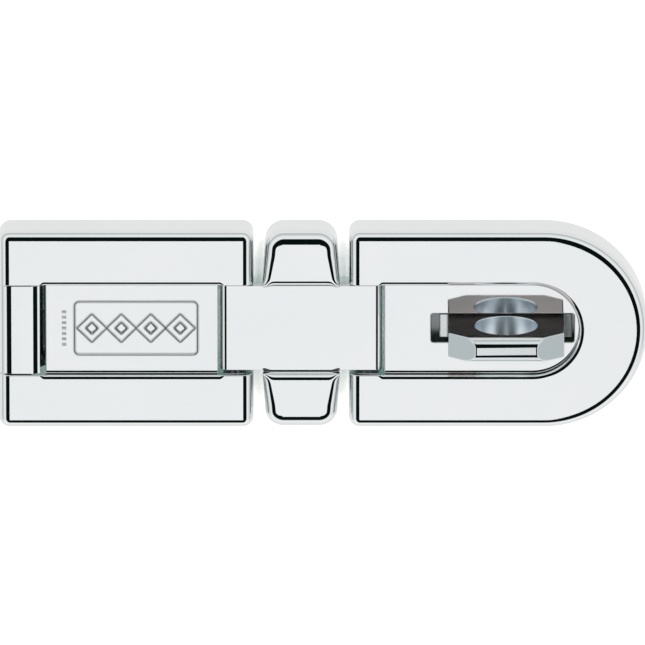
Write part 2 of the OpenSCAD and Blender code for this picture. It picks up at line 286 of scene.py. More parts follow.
def stations(path, facing=1, steps=8):
    """Walks a plan path of (x, y, corner radius) and lists places, each with the way its wall faces.

    A wall faces the walker's right, or the left where facing is -1."""
    found = []
    for i, (x, y, radius) in enumerate(path):
        corner = Vector((x, y))
        before = (corner - Vector(path[i - 1][:2])).normalized() if i else None
        after = (Vector(path[i + 1][:2]) - corner).normalized() if i + 1 < len(path) else before
        before = before or after
        if radius == 0:
            found.append((corner, right_of(after) * facing))
            continue
        turn = math.atan2(before.x * after.y - before.y * after.x, before.dot(after))
        bend = math.copysign(radius, turn)
        centre = corner - before * radius * math.tan(abs(turn) / 2) - right_of(before) * bend
        for k in range(steps + 1):
            side = right_of(turned(before, turn * k / steps))
            found.append((centre + side * bend, side * facing))
    return found


def rib(skin, station, top, radius, turn=QUARTER, levels=(), floor=None, behind=None, depth=None):
    """One cross-section of the sheet: a bend down from the face, wall levels, a fillet to a floor.

    The bend is a quarter of a circle, or of an ellipse where it has a depth of its own."""
    sheet = bpy.context.scene.hasp_sheet
    wall, facing = (part.to_3d() for part in station)
    behind = wall - facing * sheet.thickness if behind is None else behind.to_3d()
    depth = depth or radius
    inner, inner_depth = max(0, radius - sheet.thickness), max(0, depth - sheet.thickness)
    points = []
    for k in range(BEND_STEPS + 1):
        sine, cosine = math.sin(turn * k / BEND_STEPS), math.cos(turn * k / BEND_STEPS)
        place = wall - facing * radius * (1 - sine) + UP * (top - depth * (1 - cosine))
        inside = top - sheet.thickness - inner_depth * (1 - cosine)
        back = behind - facing * inner * (1 - sine) + UP * inside
        points.append(skin.point(place, facing * depth * sine + UP * radius * cosine, back))
    points += [skin.point(wall + UP * z, facing, behind + UP * z) for z in levels]
    if floor is not None:
        centre = wall + facing * sheet.fillet + UP * (floor + sheet.fillet)
        for k in range(FILLET_STEPS + 1):
            angle = QUARTER * k / FILLET_STEPS
            normal = facing * math.cos(angle) + UP * math.sin(angle)
            place = centre - normal * sheet.fillet
            back = place - normal * sheet.thickness if k else behind + UP * place.z
            points.append(skin.point(place, normal, back))
    return points


def curl_rib(skin, at, x, side, turn):
    """A rib in a notch, where the cut edge curls down by the given angle on its way to a panel."""
    sheet = bpy.context.scene.hasp_sheet
    facing = Vector((0, -side))
    edge = Vector((x, side * (at.channel + sheet.cut_radius * math.cos(turn))))
    wall = edge + facing * sheet.channel_radius * (1 - math.sin(turn))
    return rib(skin, (wall, facing), at.top, sheet.channel_radius, turn, depth=sheet.channel_depth)


def curl_ribs(skin, at, flat_x, panel_x, side):
    """The ribs of a notch from its flat far end to the end of a panel, which has its own first rib."""
    sheet = bpy.context.scene.hasp_sheet
    start = panel_x - math.copysign(sheet.curl, panel_x - flat_x)
    ribs = [curl_rib(skin, at, flat_x, side, 0)]
    for k in range(CURL_STEPS):
        share = k / CURL_STEPS
        eased = share * share * (3 - 2 * share)
        ribs.append(curl_rib(skin, at, start + (panel_x - start) * share, side, QUARTER * eased))
    return ribs


def channel_rib(skin, at, station):
    sheet = bpy.context.scene.hasp_sheet
    return rib(skin, station, at.top, sheet.channel_radius, floor=at.panel, depth=sheet.channel_depth)


def inner_surface(skin):
    """The welded points behind a skin, their normals, and which of them each outer point has."""
    places, normals, index, known = [], [], [], {}
    for back, normal in zip(skin.backs, skin.normals):
        key = tuple(round(value / BACK_WELD) for value in back)
        if key not in known:
            known[key] = len(places)
            places.append(back)
            normals.append(Vector((0, 0, 0)))
        index.append(known[key])
        normals[known[key]] -= normal
    return places, [normal.normalized() for normal in normals], index


def edge_rows(skin):
    """The skin's open edges, and for each point on them the direction that leads off the sheet."""
    used = {}
    for face in skin.faces:
        for i, corner in enumerate(face):
            used.setdefault(frozenset((face[i - 1], corner)), []).append((face[i - 1], corner))
    edges = [pairs[0] for pairs in used.values() if len(pairs) == 1]
    outward = {}
    for one, two in edges:
        along = (skin.places[two] - skin.places[one]).normalized()
        for corner in (one, two):
            away = along.cross(skin.normals[corner]).normalized()
            outward.setdefault(corner, []).append(away)
    mitred = {}
    for corner, ways in outward.items():
        total = sum(ways, Vector((0, 0, 0))).normalized()
        mitred[corner] = (total, 1 / max(0.7, total.dot(ways[0])))
    return edges, mitred


def sheet_mesh(name, skin):
    """Makes the closed sheet: the skin, the surface behind it, and a rounded edge along every cut."""
    rounding = bpy.context.scene.hasp_sheet.cut_radius
    back_places, back_normals, back_of = inner_surface(skin)
    places = skin.places + back_places
    normals = skin.normals + back_normals
    offset = len(skin.places)
    faces = list(skin.faces)
    for face in skin.faces:
        ring = [offset + back_of[corner] for corner in reversed(face)]
        ring = [corner for i, corner in enumerate(ring) if corner != ring[i - 1]]
        if len(set(ring)) > 2:
            faces.append(ring)
    edges, outward = edge_rows(skin)
    rows = {}
    for corner, (away, stretch) in outward.items():
        through = skin.normals[corner]
        row = [corner]
        for start, sign in ((skin.places[corner], -1), (skin.backs[corner], 1)):
            steps = range(1, RIM_STEPS + 1) if sign < 0 else range(RIM_STEPS, 0, -1)
            for k in steps:
                sine, cosine = math.sin(QUARTER * k / RIM_STEPS), math.cos(QUARTER * k / RIM_STEPS)
                shift = away * stretch * sine + through * sign * (1 - cosine)
                row.append(len(places))
                places.append(start + rounding * shift)
                normals.append(away * sine - through * sign * cosine)
        row.append(offset + back_of[corner])
        rows[corner] = row
    for one, two in edges:
        for k in range(2 * RIM_STEPS + 1):
            ring = [rows[two][k], rows[one][k], rows[one][k + 1], rows[two][k + 1]]
            faces.append([corner for i, corner in enumerate(ring) if corner != ring[i - 1]])
    mesh = bpy.data.meshes.new(name)
    mesh.from_pydata(places, [], faces)
    mesh.shade_smooth()
    mesh.normals_split_custom_set_from_vertices(normals)
    return mesh


# ---- covers


def left_cover_skin():
    at = places()
    sheet = bpy.context.scene.hasp_sheet
    skin = Skin()
    start, end = at.left
    notch = at.channel + sheet.cut_radius
    pin_x, pin_z = at.end_pin
    panel = (at.left_panel[0] + sheet.cut_radius, at.left_panel[1] - sheet.cut_radius)
    floors = []
    for side in (-1, 1):
        path = [
            (start, side * notch, 0),
            (start, side * at.half, sheet.edge_radius),
            (pin_x, side * at.half, 0),
            (end, side * at.half, sheet.edge_radius),
            (end, side * notch, 0),
        ]
        outer = []
        for place, facing in stations(path, -side):
            reach = min(0, place.x - pin_x)
            swing = pin_z - math.sqrt(sheet.swing_radius**2 - reach**2)
            foot = max(at.rim, swing) + sheet.cut_radius
            outer.append(rib(skin, (place, facing), at.top, sheet.edge_radius, levels=(foot,)))
        inward = Vector((0, -side))
        walls = [channel_rib(skin, at, (Vector((x, side * at.channel)), inward)) for x in panel]
        inner = curl_ribs(skin, at, start + sheet.edge_radius, panel[0], side)
        inner += walls
        inner += reversed(curl_ribs(skin, at, end - sheet.edge_radius, panel[1], side))
        skin.weave(outer)
        skin.weave(inner)
        skin.face([one[0] for one in outer] + [one[0] for one in reversed(inner)])
        floors.append([one[-1] for one in walls])
    skin.face(floors[0] + floors[1][::-1])
    return skin


def right_cover_skin():
    at = places()
    sheet = bpy.context.scene.hasp_sheet
    skin = Skin()
    start, end = at.right
    notch = at.channel + sheet.cut_radius
    front_path = [(start, -notch, 0), (start, -at.half, sheet.edge_radius), (end, -at.half, 0)]
    front = stations(front_path)[:-1]
    round_path = [
        (start, -at.half, 0),
        (end, -at.half, at.half),
        (end, at.half, at.half),
        (start, at.half, 0),
    ]
    bow = stations(round_path, steps=ROUND_END_STEPS)[1:-1]
    mirror = Matrix(((1, 0), (0, -1)))
    back = [(mirror @ place, mirror @ facing) for place, facing in reversed(front)]
    foot = at.rim + sheet.cut_radius
    outer = [
        rib(skin, station, at.top, sheet.edge_radius, levels=(foot,)) for station in front + bow + back
    ]
    panel_x = at.right_panel + sheet.cut_radius
    far = end - sheet.end_margin
    loop = [
        (panel_x, -at.channel, 0),
        (far, -at.channel, at.channel),
        (far, at.channel, at.channel),
        (panel_x, at.channel, 0),
    ]
    walls = [channel_rib(skin, at, station) for station in stations(loop, -1, ROUND_END_STEPS)]
    inner = curl_ribs(skin, at, start + sheet.edge_radius, panel_x, -1)
    inner += walls
    inner += reversed(curl_ribs(skin, at, start + sheet.edge_radius, panel_x, 1))
    skin.weave(outer)
    skin.weave(inner)
    skin.face([one[0] for one in outer] + [one[0] for one in reversed(inner)])
    slotted_floor(skin, at, [one[-1] for one in walls])
    return skin


def slotted_floor(skin, at, ring):
    """The right panel inside its ring of points, in two halves that meet at the slot's ends."""
    sheet = bpy.context.scene.hasp_sheet
    cut = sheet.cut_radius
    near = at.eye[0][0] - sheet.slot_near - cut
    far = at.eye[1][0] + sheet.slot_far + cut
    half = at.eye[1][1] + sheet.slot_side + cut

    def flat_point(x, y):
        return skin.point((x, y, at.panel), UP, (x, y, at.panel - sheet.thickness))

    start = flat_point(skin.places[ring[0]].x, 0)
    middle = len(ring) // 2
    for side, arc in ((-1, ring[: middle + 1]), (1, ring[middle:][::-1])):
        path = [
            (far, 0, 0),
            (far, side * half, SLOT_CORNER),
            (near, side * half, SLOT_CORNER),
            (near, 0, 0),
        ]
        slot = [flat_point(place.x, place.y) for place, facing in stations(path, 1, 5)]
        skin.face([start, *arc, *slot])


def saddle_skin():
    """The middle cover: two lobes joined by a groove floor under the strap."""
    at = places()
    sheet = bpy.context.scene.hasp_sheet
    saddle = bpy.context.scene.hasp_saddle
    skin = Skin()
    centre = sum(at.middle) / 2
    half_len = at.middle[1] - centre
    groove = at.strap_half + saddle.groove_gap
    floor = at.panel - saddle.strap_thickness
    foot = at.rim + sheet.cut_radius
    thickness = sheet.thickness

    def half_width(y):
        return half_len - saddle.taper * (abs(y) - groove) / (at.half - groove)

    def edge_radius(x, y, facing, side):
        """The bend radius, which changes round the lobe."""
        if facing.y * side < -0.5:
            inset = min(1, max(0, (half_width(y) - abs(x)) / FLARE_RUN))
            return max(SHARP_FLARE, saddle.flare * inset * inset * (3 - 2 * inset))
        off = max(0, abs(y) - groove - saddle.inner_radius)
        neck = min(1, off / NECK_RUN)
        body = min(1, max(0, (off - BODY_START) / BODY_RUN))
        near = SHARP + (saddle.neck_radius - SHARP) * math.sin(neck * QUARTER)
        side_radius = near + (saddle.side_radius - saddle.neck_radius) * body
        return side_radius + (saddle.end_radius - saddle.side_radius) * max(0, facing.y * side) ** 2

    climb = [(-half_width(groove + step * MM), groove + step * MM, 0) for step in SIDE_STEPS]
    run = [(step * MM - half_len, groove, 0) for step in reversed(GROOVE_STEPS)]
    half_path = [
        (0, groove, 0),
        *run,
        (-half_len, groove, saddle.inner_radius),
        *climb,
        (-half_width(at.half), at.half, saddle.corner_radius),
    ]
    path = half_path + [(-x, y, radius) for x, y, radius in reversed(half_path)]
    floors = []
    for side in (-1, 1):
        ribs, floor_points = [], []
        for place, facing in stations(path):
            place = Vector((place.x, side * place.y))
            facing = Vector((-facing.x, -side * facing.y))
            radius = edge_radius(place.x, place.y, facing, side)
            back = place - facing * thickness
            limit = half_width(place.y) - thickness
            back.x = min(limit, max(-limit, back.x))
            back.y = side * max(abs(back.y), groove + thickness)
            inward = -facing.y * side
            at_groove = inward > 0.999
            cornering = 0.001 < inward and not at_groove and abs(place.y) < groove + CORNER_ZONE
            level = floor + sheet.fillet
            if at_groove:
                levels, bottom = (), floor
            else:
                levels, bottom = ((level,) if cornering else (level, foot)), None
            place.x += centre
            back.x += centre
            one = rib(skin, (place, facing), at.top, radius, levels=levels, floor=bottom, behind=back)
            ribs.append(one)
            if at_groove:
                floor_points.append(one[-1])
        skin.weave(ribs)
        skin.face([one[0] for one in ribs])
        floor_points.sort(key=lambda corner: skin.places[corner].x)
        floors.append(floor_points)
    skin.face(floors[0] + floors[1][::-1])
    return skin


def add_piece(name, mesh, body, slot, material, *nodes):
    """Links a finished mesh that rides on a body and stands for the given CAD nodes."""
    piece = bpy.data.objects.new(name, mesh)
    bpy.context.scene.collection.objects.link(piece)
    mesh.materials.clear()
    mesh.materials.append(material)
    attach(piece, body)
    if nodes:
        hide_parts(*nodes)
    return piece


def pressed(node, body, skin):
    """A cover of pressed sheet, in place of its CAD node."""
    name = node + "_finished"
    add_piece(name, sheet_mesh(name, skin), body, "cover_steel", cover_plating(), node)


# ---- turned, cut and forged pieces


def soft_edged(node, body, slot, material, rounding):
    """A copy of a CAD node with every sharp edge rounded and clean shading."""
    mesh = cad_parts[node].data.copy()
    mesh.name = node + "_finished"
    shape = bmesh.new()
    shape.from_mesh(mesh)
    bmesh.ops.remove_doubles(shape, verts=shape.verts, dist=0.001 * MM)
    bmesh.ops.dissolve_limit(
        shape,
        angle_limit=math.radians(0.5),
        verts=shape.verts,
        edges=shape.edges,
        use_dissolve_boundaries=False,
    )
    shape.to_mesh(mesh)
    shape.free()
    mesh.shade_smooth()
    piece = add_piece(node + "_finished", mesh, body, slot, material, node)
    bevel = piece.modifiers.new("Edge rounding", "BEVEL")
    bevel.width = rounding
    bevel.segments = 3
    bevel.limit_method = "ANGLE"
    bevel.angle_limit = math.radians(35)
    bevel.harden_normals = True
    shading = piece.modifiers.new("Flat faces stay flat", "WEIGHTED_NORMAL")
    shading.keep_sharp = True
    shading.weight = 100
    return piece


# ---- node helpers


def feed(tree, entry, value):
    """Links a socket to a node's entry, or sets the entry to a plain value."""
    if isinstance(value, bpy.types.NodeSocket):
        tree.links.new(value, entry)
    else:
        entry.default_value = value


def maths(tree, operation, *values):
    node = tree.nodes.new("ShaderNodeMath")
    node.operation = operation
    for entry, value in zip(node.inputs, values):
        feed(tree, entry, value)
    return node.outputs[0]


def ranged(tree, value, span, onto=(0.0, 1.0), interpolation="LINEAR"):
    """Maps a value from one span onto another and keeps it there."""
    node = tree.nodes.new("ShaderNodeMapRange")
    node.interpolation_type = interpolation
    names = ("Value", "From Min", "From Max", "To Min", "To Max")
    for name, given in zip(names, (value, *span, *onto)):
        feed(tree, node.inputs[name], given)
    return node.outputs[0]


def mixed(tree, factor, first, second, blend="MIX"):
    """Mixes two colours, each a socket or red, green and blue."""
    node = tree.nodes.new("ShaderNodeMix")
    node.data_type = "RGBA"
    node.blend_type = blend
    feed(tree, node.inputs["Factor"], factor)
    for name, value in (("A", first), ("B", second)):
        is_socket = isinstance(value, bpy.types.NodeSocket)
        feed(tree, node.inputs[name], value if is_socket else (*value, 1))
    return node.outputs["Result"]


def parts_of(tree, vector):
    node = tree.nodes.new("ShaderNodeSeparateXYZ")
    tree.links.new(vector, node.inputs[0])
    return node.outputs


# ---- stamped mark


def lines_tree(material):
    """Geometry nodes that draw raised lines: a frame, a row of lozenges and a column of ticks."""
    tree = bpy.data.node_groups.new("Stamped lines", "GeometryNodeTree")
    interface = tree.interface
    for name in ("Frame Length", "Frame Width", "Line Width", "Line Height"):
        interface.new_socket(name, in_out="INPUT", socket_type="NodeSocketFloat")
    for name in ("Lozenges", "Ticks"):
        interface.new_socket(name, in_out="INPUT", socket_type="NodeSocketInt")
    interface.new_socket("Place", in_out="INPUT", socket_type="NodeSocketVector")
    interface.new_socket("Geometry", in_out="OUTPUT", socket_type="NodeSocketGeometry")
    add, link = tree.nodes.new, tree.links.new
    given = add("NodeGroupInput").outputs
    times, minus, over = (partial(maths, tree, name) for name in ("MULTIPLY", "SUBTRACT", "DIVIDE"))

    def vector(x=0, y=0, z=0):
        node = add("ShaderNodeCombineXYZ")
        for entry, value in zip(node.inputs, (x, y, z)):
            feed(tree, entry, value)
        return node.outputs[0]

    def rectangle(width, height, radius):
        quad = add("GeometryNodeCurvePrimitiveQuadrilateral")
        link(width, quad.inputs["Width"])
        link(height, quad.inputs["Height"])
        fillet = add("GeometryNodeFilletCurve")
        fillet.mode = "POLY"
        fillet.inputs["Count"].default_value = 6
        fillet.inputs["Radius"].default_value = radius
        link(quad.outputs[0], fillet.inputs["Curve"])
        return fillet.outputs[0]

    def moved(geometry, translation=None, turn=0):
        node = add("GeometryNodeTransform")
        link(geometry, node.inputs["Geometry"])
        if translation is not None:
            link(translation, node.inputs["Translation"])
        node.inputs["Rotation"].default_value = (0, 0, turn)
        return node.outputs[0]

    def row(count, start, step, shape):
        line = add("GeometryNodeMeshLine")
        link(count, line.inputs["Count"])
        link(start, line.inputs["Start Location"])
        link(step, line.inputs["Offset"])
        copies = add("GeometryNodeInstanceOnPoints")
        link(line.outputs[0], copies.inputs["Points"])
        link(shape, copies.inputs["Instance"])
        return copies.outputs[0]

    inner = minus(given["Frame Length"], times(given["Line Width"], 2.0))
    pitch = over(inner, given["Lozenges"])
    first = minus(times(pitch, 0.5), times(inner, 0.5))
    size = minus(pitch, times(given["Line Width"], LOZENGE_GAP))
    lozenge = moved(rectangle(size, size, LOZENGE_CORNER), turn=math.radians(45))
    core_size = times(size, CORE_SIZE)
    core = moved(rectangle(core_size, core_size, CORE_CORNER), turn=math.radians(45))
    tick = add("GeometryNodeCurvePrimitiveLine")
    tick.inputs["Start"].default_value = (-TICK_HALF, 0, 0)
    tick.inputs["End"].default_value = (TICK_HALF, 0, 0)
    tick_step = over(times(given["Frame Width"], TICK_SPREAD), given["Ticks"])
    lowest = times(tick_step, times(minus(given["Ticks"], 1.0), -0.5))
    tick_x = minus(times(given["Frame Length"], -0.5), TICK_OFFSET)
    parts = [
        rectangle(given["Frame Length"], given["Frame Width"], FRAME_CORNER),
        row(given["Lozenges"], vector(first), vector(pitch), lozenge),
        row(given["Lozenges"], vector(first), vector(pitch), core),
        row(given["Ticks"], vector(tick_x, lowest), vector(0, tick_step), tick.outputs[0]),
    ]
    joined = add("GeometryNodeJoinGeometry")
    for part in parts:
        link(part, joined.inputs[0])
    real_curves = add("GeometryNodeRealizeInstances")
    link(joined.outputs[0], real_curves.inputs[0])
    ridge = add("GeometryNodeCurvePrimitiveCircle")
    ridge.inputs["Resolution"].default_value = 14
    ridge.inputs["Radius"].default_value = 1.0
    shaped = add("GeometryNodeTransform")
    link(ridge.outputs[0], shaped.inputs["Geometry"])
    profile = vector(given["Line Height"], times(given["Line Width"], 0.5), 1.0)
    link(profile, shaped.inputs["Scale"])
    swept = add("GeometryNodeCurveToMesh")
    swept.inputs["Fill Caps"].default_value = True
    link(real_curves.outputs[0], swept.inputs["Curve"])
    link(shaped.outputs[0], swept.inputs["Profile Curve"])
    placed = moved(swept.outputs[0], given["Place"])
    real = add("GeometryNodeRealizeInstances")
    link(placed, real.inputs[0])
    painted = add("GeometryNodeSetMaterial")
    painted.inputs["Material"].default_value = material
    link(real.outputs[0], painted.inputs["Geometry"])
    link(painted.outputs[0], add("NodeGroupOutput").inputs["Geometry"])
    return tree


def mark_mesh(material):
    """The stamped lines as a plain mesh, standing on the left panel."""
    at = places()
    mark = bpy.context.scene.hasp_mark
    tree = lines_tree(material)
    values = {
        "Frame Length": mark.frame_length,
        "Frame Width": mark.frame_width,
        "Line Width": mark.line,
        "Line Height": mark.height,
        "Lozenges": mark.lozenges,
        "Ticks": mark.ticks,
        "Place": (sum(at.left_panel) / 2 + MARK_SHIFT, 0, at.panel),
    }
    holder = bpy.data.objects.new("mark_holder", bpy.data.meshes.new("mark_holder"))
    bpy.context.scene.collection.objects.link(holder)
    modifier = holder.modifiers.new("Stamped lines", "NODES")
    modifier.node_group = tree
    for item in tree.interface.items_tree:
        if item.in_out == "INPUT":
            modifier[item.identifier] = values[item.name]
    evaluated = holder.evaluated_get(bpy.context.evaluated_depsgraph_get())
    mesh = bpy.data.meshes.new_from_object(evaluated)
    bpy.data.objects.remove(holder)
    mesh.name = "stamped_mark"
    shape = bmesh.new()
    shape.from_mesh(mesh)
    bmesh.ops.remove_doubles(shape, verts=shape.verts, dist=MARK_WELD)
    bmesh.ops.recalc_face_normals(shape, faces=shape.faces)
    shape.to_mesh(mesh)
    shape.free()
    mesh.shade_smooth()
    return mesh


# ---- finishes


def socket(group, name, way, kind="NodeSocketFloat", default=None):
    made = group.interface.new_socket(name, in_out=way, socket_type=kind)
    if default is not None:
        made.default_value = default


def plating_group():
    """Slow changes in a plated surface: its tone, its roughness and the height of its ripple."""
    known = bpy.data.node_groups.get("Plating")
    if known:
        return known
    group = bpy.data.node_groups.new("Plating", "ShaderNodeTree")
    socket(group, "Colour", "INPUT", "NodeSocketColor", (0.8, 0.8, 0.8, 1))
    socket(group, "Smoothest", "INPUT", default=0.05)
    socket(group, "Roughest", "INPUT", default=0.1)
    socket(group, "Ripple Size", "INPUT", default=160.0)
    socket(group, "Grain Size", "INPUT", default=2500.0)
    socket(group, "Grain", "INPUT", default=0.1)
    socket(group, "Colour", "OUTPUT", "NodeSocketColor")
    socket(group, "Roughness", "OUTPUT")
    socket(group, "Height", "OUTPUT")
    add, link = group.nodes.new, group.links.new
    given = add("NodeGroupInput").outputs
    put = add("NodeGroupOutput").inputs
    where = add("ShaderNodeTexCoord").outputs["Object"]

    def noise(scale, detail, stretch=(1, 1, 1)):
        mapping = add("ShaderNodeMapping")
        mapping.inputs["Scale"].default_value = stretch
        link(where, mapping.inputs["Vector"])
        texture = add("ShaderNodeTexNoise")
        texture.inputs["Detail"].default_value = detail
        link(mapping.outputs[0], texture.inputs["Vector"])
        feed(group, texture.inputs["Scale"], scale)
        return texture.outputs[0]

    haze = noise(42.0, 3.0)
    polish = noise(260.0, 2.0, (0.06, 1, 1))
    grain = noise(given["Grain Size"], 2.0)
    ripple = noise(given["Ripple Size"], 1.0)
    marks = ranged(group, polish, (0.0, 1.0), (0.0, 0.3))
    patchy = maths(group, "MULTIPLY_ADD", haze, 0.7, marks)
    rough = ranged(group, patchy, (0.35, 0.65), (given["Smoothest"], given["Roughest"]))
    shade = add("ShaderNodeCombineColor")
    for channel, low in zip(shade.inputs, (0.972, 0.98, 0.985)):
        link(ranged(group, haze, (0.3, 0.7), (low, 1.0)), channel)
    link(mixed(group, 1.0, given["Colour"], shade.outputs[0], "MULTIPLY"), put["Colour"])
    link(rough, put["Roughness"])
    link(maths(group, "MULTIPLY_ADD", grain, given["Grain"], ripple), put["Height"])
    return group


def plated(name, base, smoothest, roughest, ripple=160.0, grain_size=2500.0, grain=0.1, bump=0.02):
    """A plated steel; the bump distance is in millimetres."""
    known = bpy.data.materials.get(name)
    if known:
        return known
    material = bpy.data.materials.new(name)
    material.use_nodes = True
    nodes, link = material.node_tree.nodes, material.node_tree.links.new
    shader = nodes["Principled BSDF"]
    shader.inputs["Metallic"].default_value = 1.0
    surface = nodes.new("ShaderNodeGroup")
    surface.node_tree = plating_group()
    for socket_name, value in (
        ("Colour", (*base, 1)),
        ("Smoothest", smoothest),
        ("Roughest", roughest),
        ("Ripple Size", ripple),
        ("Grain Size", grain_size),
        ("Grain", grain),
    ):
        surface.inputs[socket_name].default_value = value
    relief = nodes.new("ShaderNodeBump")
    relief.inputs["Strength"].default_value = 1.0
    relief.inputs["Distance"].default_value = bump * MM
    link(surface.outputs["Colour"], shader.inputs["Base Color"])
    link(surface.outputs["Roughness"], shader.inputs["Roughness"])
    link(surface.outputs["Height"], relief.inputs["Height"])
    link(relief.outputs["Normal"], shader.inputs["Normal"])
    return material


def forged(material, bore):
    """Gives the flanks, which look along Y, and the bore a rougher and tinted finish.

    The flanks are flat. Only their shading leans, by FLANK_TILT, which sets what they mirror."""
    tree = material.node_tree
    work, link = partial(maths, tree), tree.links.new
    shader = tree.nodes["Principled BSDF"]
    coordinates = tree.nodes.new("ShaderNodeTexCoord").outputs
    place, facing = (parts_of(tree, coordinates[name]) for name in ("Object", "Normal"))
    flank = ranged(tree, work("ABSOLUTE", facing["Y"]), FLANK_FACING)
    across = work("POWER", work("SUBTRACT", place["X"], bore[0]), 2)
    up = work("POWER", work("SUBTRACT", place["Z"], bore[1]), 2)
    from_bore = work("SQRT", work("ADD", across, up))
    near_bore = ranged(tree, from_bore, [BORE_RADIUS * share for share in BORE_BAND])
    in_bore = work("MULTIPLY", near_bore, ranged(tree, flank, (1, 0)))

    tone, rough = (shader.inputs[name].links[0].from_socket for name in ("Base Color", "Roughness"))
    warm = mixed(tree, flank, tone, FLANK_TINT, "MULTIPLY")
    link(mixed(tree, in_bore, warm, BORE_TINT), shader.inputs["Base Color"])
    rougher = work("MULTIPLY_ADD", flank, FLANK_ROUGHER, rough)
    link(work("MULTIPLY_ADD", in_bore, BORE_ROUGHER, rougher), shader.inputs["Roughness"])

    lean = tree.nodes.new("ShaderNodeBump")
    lean.inputs["Distance"].default_value = 1.0
    link(work("MULTIPLY", place["Z"], math.tan(FLANK_TILT)), lean.inputs["Height"])
    link(flank, lean.inputs["Strength"])
    relief = shader.inputs["Normal"].links[0].from_node
    link(lean.outputs["Normal"], relief.inputs["Normal"])


def cover_plating():
    base = bpy.context.scene.hasp_finish.cover
    return plated("Bright plating", base, 0.035, 0.06, ripple=120.0, grain=0.04, bump=0.004)


def eye_plating():
    base = bpy.context.scene.hasp_finish.eye
    low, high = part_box("staple_eye")
    material = plated("Plating on forged steel", base, 0.08, 0.13, ripple=700.0, grain=0.3, bump=0.004)
    forged(material, ((low[0] + high[0]) / 2, high[2] - BORE_DEPTH))
    return material


def plate_zinc():
    base = bpy.context.scene.hasp_finish.plate
    return plated("Satin zinc on plates", base, 0.25, 0.36, ripple=500.0, grain=0.5, bump=0.02)


def lug_zinc():
    base = bpy.context.scene.hasp_finish.lug
    return plated("Satin zinc on lugs", base, 0.28, 0.42, ripple=600.0, grain=0.6, bump=0.025)


def pin_steel():
    base = bpy.context.scene.hasp_finish.pin
    return plated("Ground steel", base, 0.16, 0.26, ripple=900.0, grain=0.3, bump=0.01)


# ---- stage


def studio_world():
    """A dark ceiling that fades to pale walls, so that polished faces get crisp dark edges."""
    studio = bpy.context.scene.hasp_studio
    world = bpy.data.worlds.new("Studio")
    world.use_nodes = True
    tree = world.node_tree
    link = tree.links.new
    eased = partial(ranged, tree, interpolation="SMOOTHSTEP")
    direction = tree.nodes.new("ShaderNodeTexCoord").outputs["Generated"]
    mapping = tree.nodes.new("ShaderNodeMapping")
    mapping.inputs["Location"].default_value = (0, CEILING_SHIFT, 0)
    mapping.inputs["Scale"].default_value = (1 / CEILING_HALF_X, 1 / CEILING_HALF_Y, 0)
    link(direction, mapping.inputs["Vector"])
    distance = tree.nodes.new("ShaderNodeVectorMath")
    distance.operation = "LENGTH"
    link(mapping.outputs[0], distance.inputs[0])
    parts = parts_of(tree, direction)
    horizon = mixed(tree, eased(parts["Y"], WINDOW_FADE), studio.horizon, studio.window)
    walls = mixed(tree, eased(parts["Z"], WALL_FADE), horizon, studio.pale)
    sky = mixed(tree, eased(distance.outputs["Value"], CEILING_FADE), studio.dark, walls)
    link(sky, tree.nodes["Background"].inputs["Color"])
    bpy.context.scene.world = world


def studio_floor():
    """A pale floor that glows evenly in the open and is dark where the hasp shades it deeply."""
    studio = bpy.context.scene.hasp_studio
    mesh = bpy.data.meshes.new("floor")
    near, far, down = -FLOOR_HALF, FLOOR_HALF, -FLOOR_DROP
    corners = [(near, near, down), (far, near, down), (far, far, down), (near, far, down)]
    mesh.from_pydata(corners, [], [(0, 1, 2, 3)])
    floor = bpy.data.objects.new("floor", mesh)
    bpy.context.scene.collection.objects.link(floor)
    material = bpy.data.materials.new("Pale floor")
    material.use_nodes = True
    tree = material.node_tree
    shader = tree.nodes["Principled BSDF"]
    shader.inputs["Base Color"].default_value = (0.1, 0.1, 0.1, 1)
    shader.inputs["Roughness"].default_value = 0.9
    shader.inputs["Specular IOR Level"].default_value = 0.0
    to_camera = tree.nodes.new("ShaderNodeLightPath").outputs["Is Camera Ray"]
    glow = ranged(tree, to_camera, (0.0, 1.0), FLOOR_GLOW)
    tree.links.new(glow, shader.inputs["Emission Strength"])
    openness = tree.nodes.new("ShaderNodeAmbientOcclusion")
    openness.inputs["Distance"].default_value = SHADE_REACH
    openness.samples = 8
    lit = ranged(tree, openness.outputs["AO"], SHADE_RANGE)
    tree.links.new(mixed(tree, lit, studio.shade, studio.floor), shader.inputs["Emission Color"])
    mesh.materials.append(material)


def studio_lamp():
    """One large soft light high behind the hasp, the one that the flat faces mirror."""
    studio = bpy.context.scene.hasp_studio
    near, far = (studio.lamp_height * math.tan(edge) for edge in (studio.lamp_near, studio.lamp_far))
    data = bpy.data.lights.new("soft_light", "AREA")
    data.shape = "RECTANGLE"
    data.size = studio.lamp_width
    data.size_y = far - near
    data.energy = studio.lamp_radiance * math.pi * data.size * data.size_y
    lamp = bpy.data.objects.new("soft_light", data)
    lamp.location = (0, -(near + far) / 2, studio.lamp_height)
    bpy.context.scene.collection.objects.link(lamp)


def studio_camera():
    studio = bpy.context.scene.hasp_studio
    data = bpy.data.cameras.new("camera")
    data.sensor_width = 36
    data.lens = data.sensor_width * studio.distance / studio.field
    camera = bpy.data.objects.new("camera", data)
    back = Vector((0, math.cos(studio.elevation), math.sin(studio.elevation)))
    right = Vector((1, 0, 0))
    turn = Matrix((right, back.cross(right), back)).transposed()
    camera.matrix_world = Matrix.LocRotScale(CAMERA_TARGET + back * studio.distance, turn, None)
    scene = bpy.context.scene
    scene.collection.objects.link(camera)
    scene.camera = camera


# ---- operators


